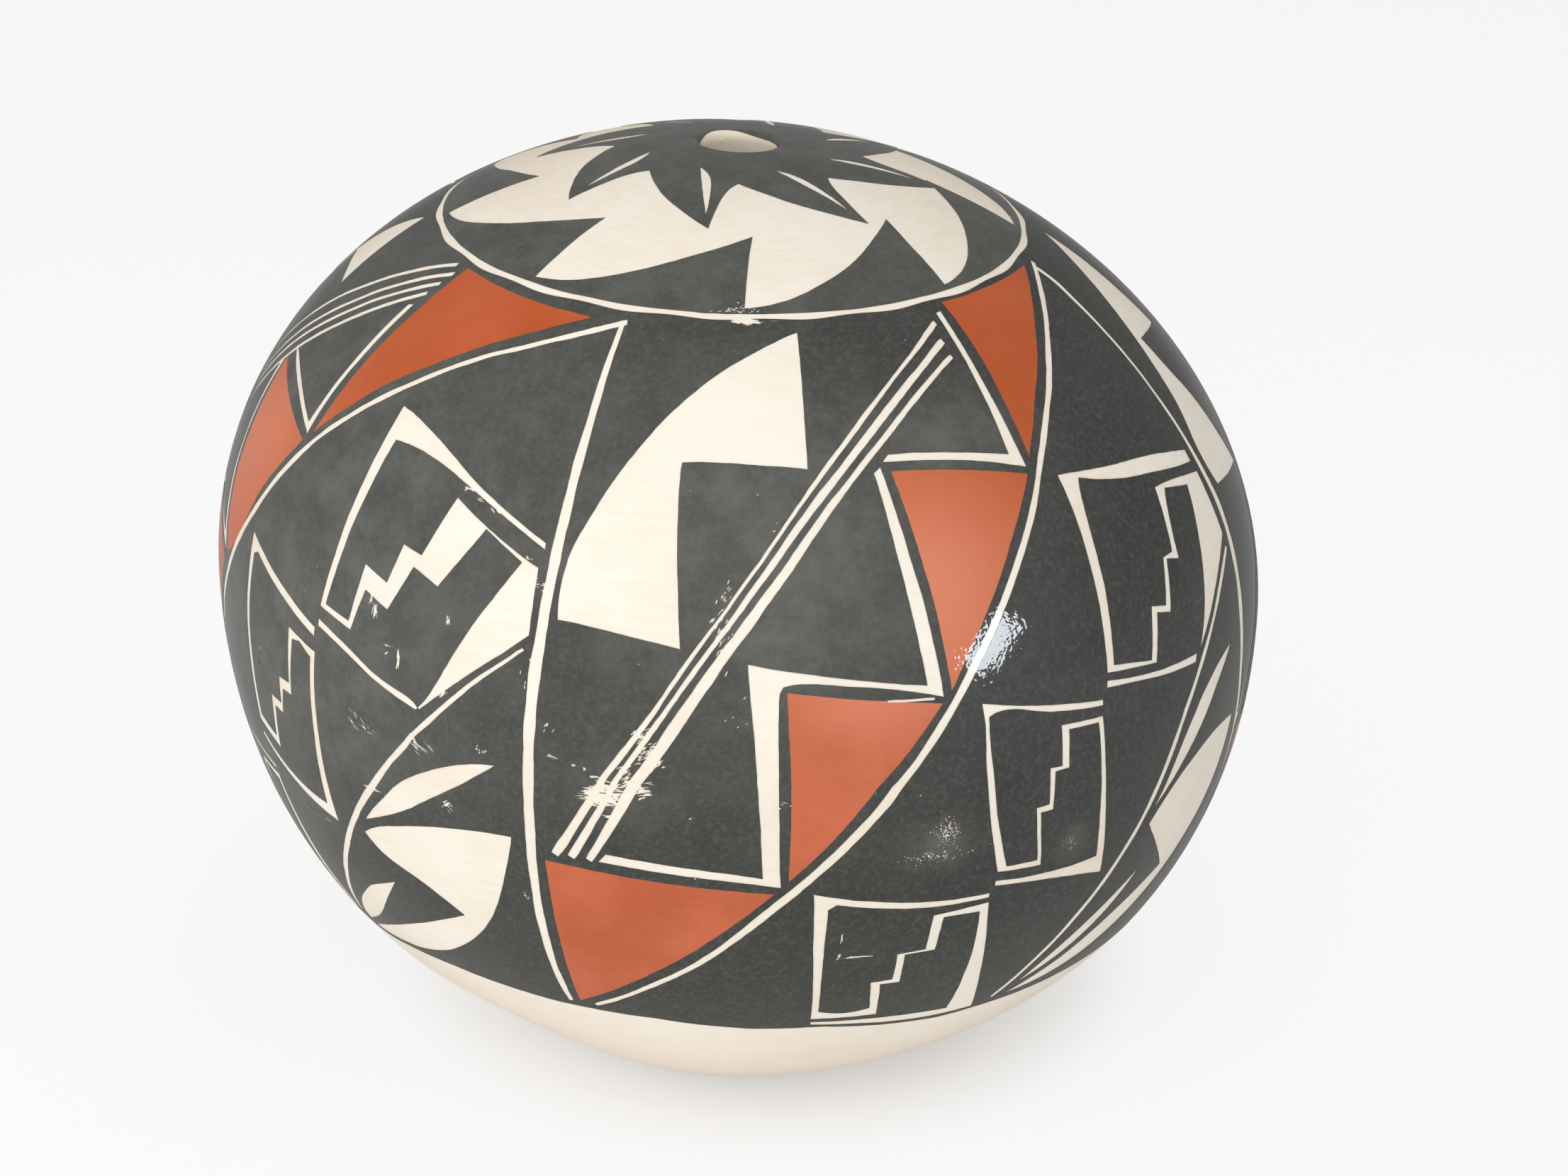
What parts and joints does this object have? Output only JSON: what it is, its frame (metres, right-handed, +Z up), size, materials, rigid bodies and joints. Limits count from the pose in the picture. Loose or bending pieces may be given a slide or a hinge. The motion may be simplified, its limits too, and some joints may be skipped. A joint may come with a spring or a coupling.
{
  "type": "pueblo seed pot",
  "caption": "Round hand-coiled clay seed pot with a flat foot and a small mouth, white slipped and painted in black and red-orange fine-line panels.",
  "frame": {"origin": "centre of the flat resting face", "axes": "+Z up along the pot's axis, out of the mouth; -Y is the side that faces the camera in the picture"},
  "size_m": [0.15, 0.15, 0.133],
  "materials": {
    "clay": "matte scraped low-fired clay",
    "slip": "stone-polished white slip, satin",
    "black_paint": "mineral and plant paint, satin, rubbed in places",
    "red_paint": "red-orange clay slip paint, matte"
  },
  "bodies": {
    "root": {"base_bowl": "clay", "coil_01": "clay", "coil_02": "clay", "coil_03": "clay", "coil_04": "clay", "coil_05": "clay", "coil_06": "clay", "coil_07": "clay", "coil_08": "clay", "coil_09": "clay", "coil_10": "clay", "coil_11": "clay", "coil_12": "clay", "mouth_ring": "clay", "slip_coat": "slip"}
  },
  "joints": []
}
